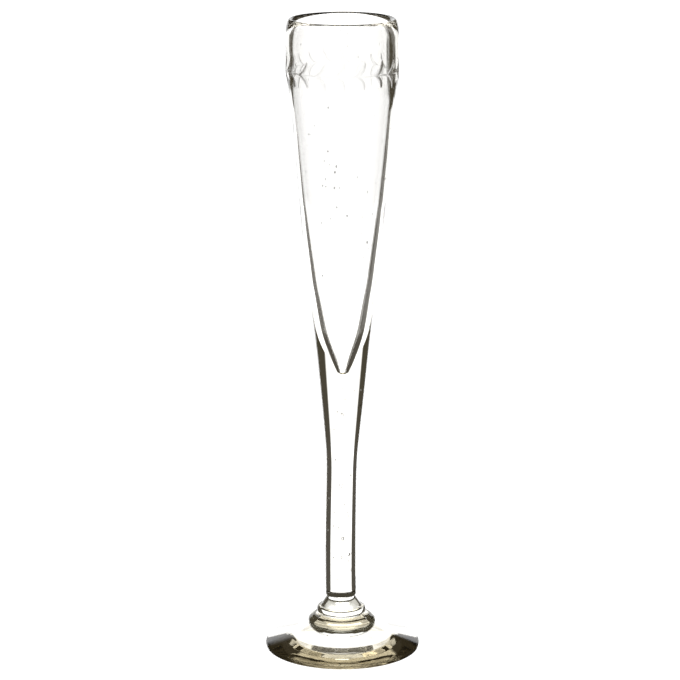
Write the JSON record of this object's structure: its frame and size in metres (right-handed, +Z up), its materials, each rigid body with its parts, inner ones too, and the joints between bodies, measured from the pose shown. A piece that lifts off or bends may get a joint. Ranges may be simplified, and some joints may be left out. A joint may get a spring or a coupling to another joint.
{
  "type": "champagne flute",
  "caption": "Tall hand-blown clear glass flute: thick conical bowl with an engraved leaf band, solid stem, collar, flattened knop and disc foot.",
  "frame": {"origin": "centre of the plane the foot rests on", "axes": "+Z up along the flute's axis, from foot to lip; X and Y are equivalent because every piece is turned about Z"},
  "size_m": [0.0704, 0.0704, 0.29],
  "materials": {
    "blown_glass": "clear blown glass with seed bubbles, fire-polished lip and a frosted engraved leaf band",
    "stem_glass": "clear solid drawn glass, fire-polished",
    "collar_glass": "clear tooled glass, fire-polished",
    "knop_glass": "clear tooled glass, fire-polished",
    "foot_glass": "thick pressed glass with a faint olive tint, ground hollow underneath"
  },
  "bodies": {
    "root": {"bowl": "blown_glass", "stem": "stem_glass", "collar": "collar_glass", "knop": "knop_glass", "foot": "foot_glass"}
  },
  "joints": []
}
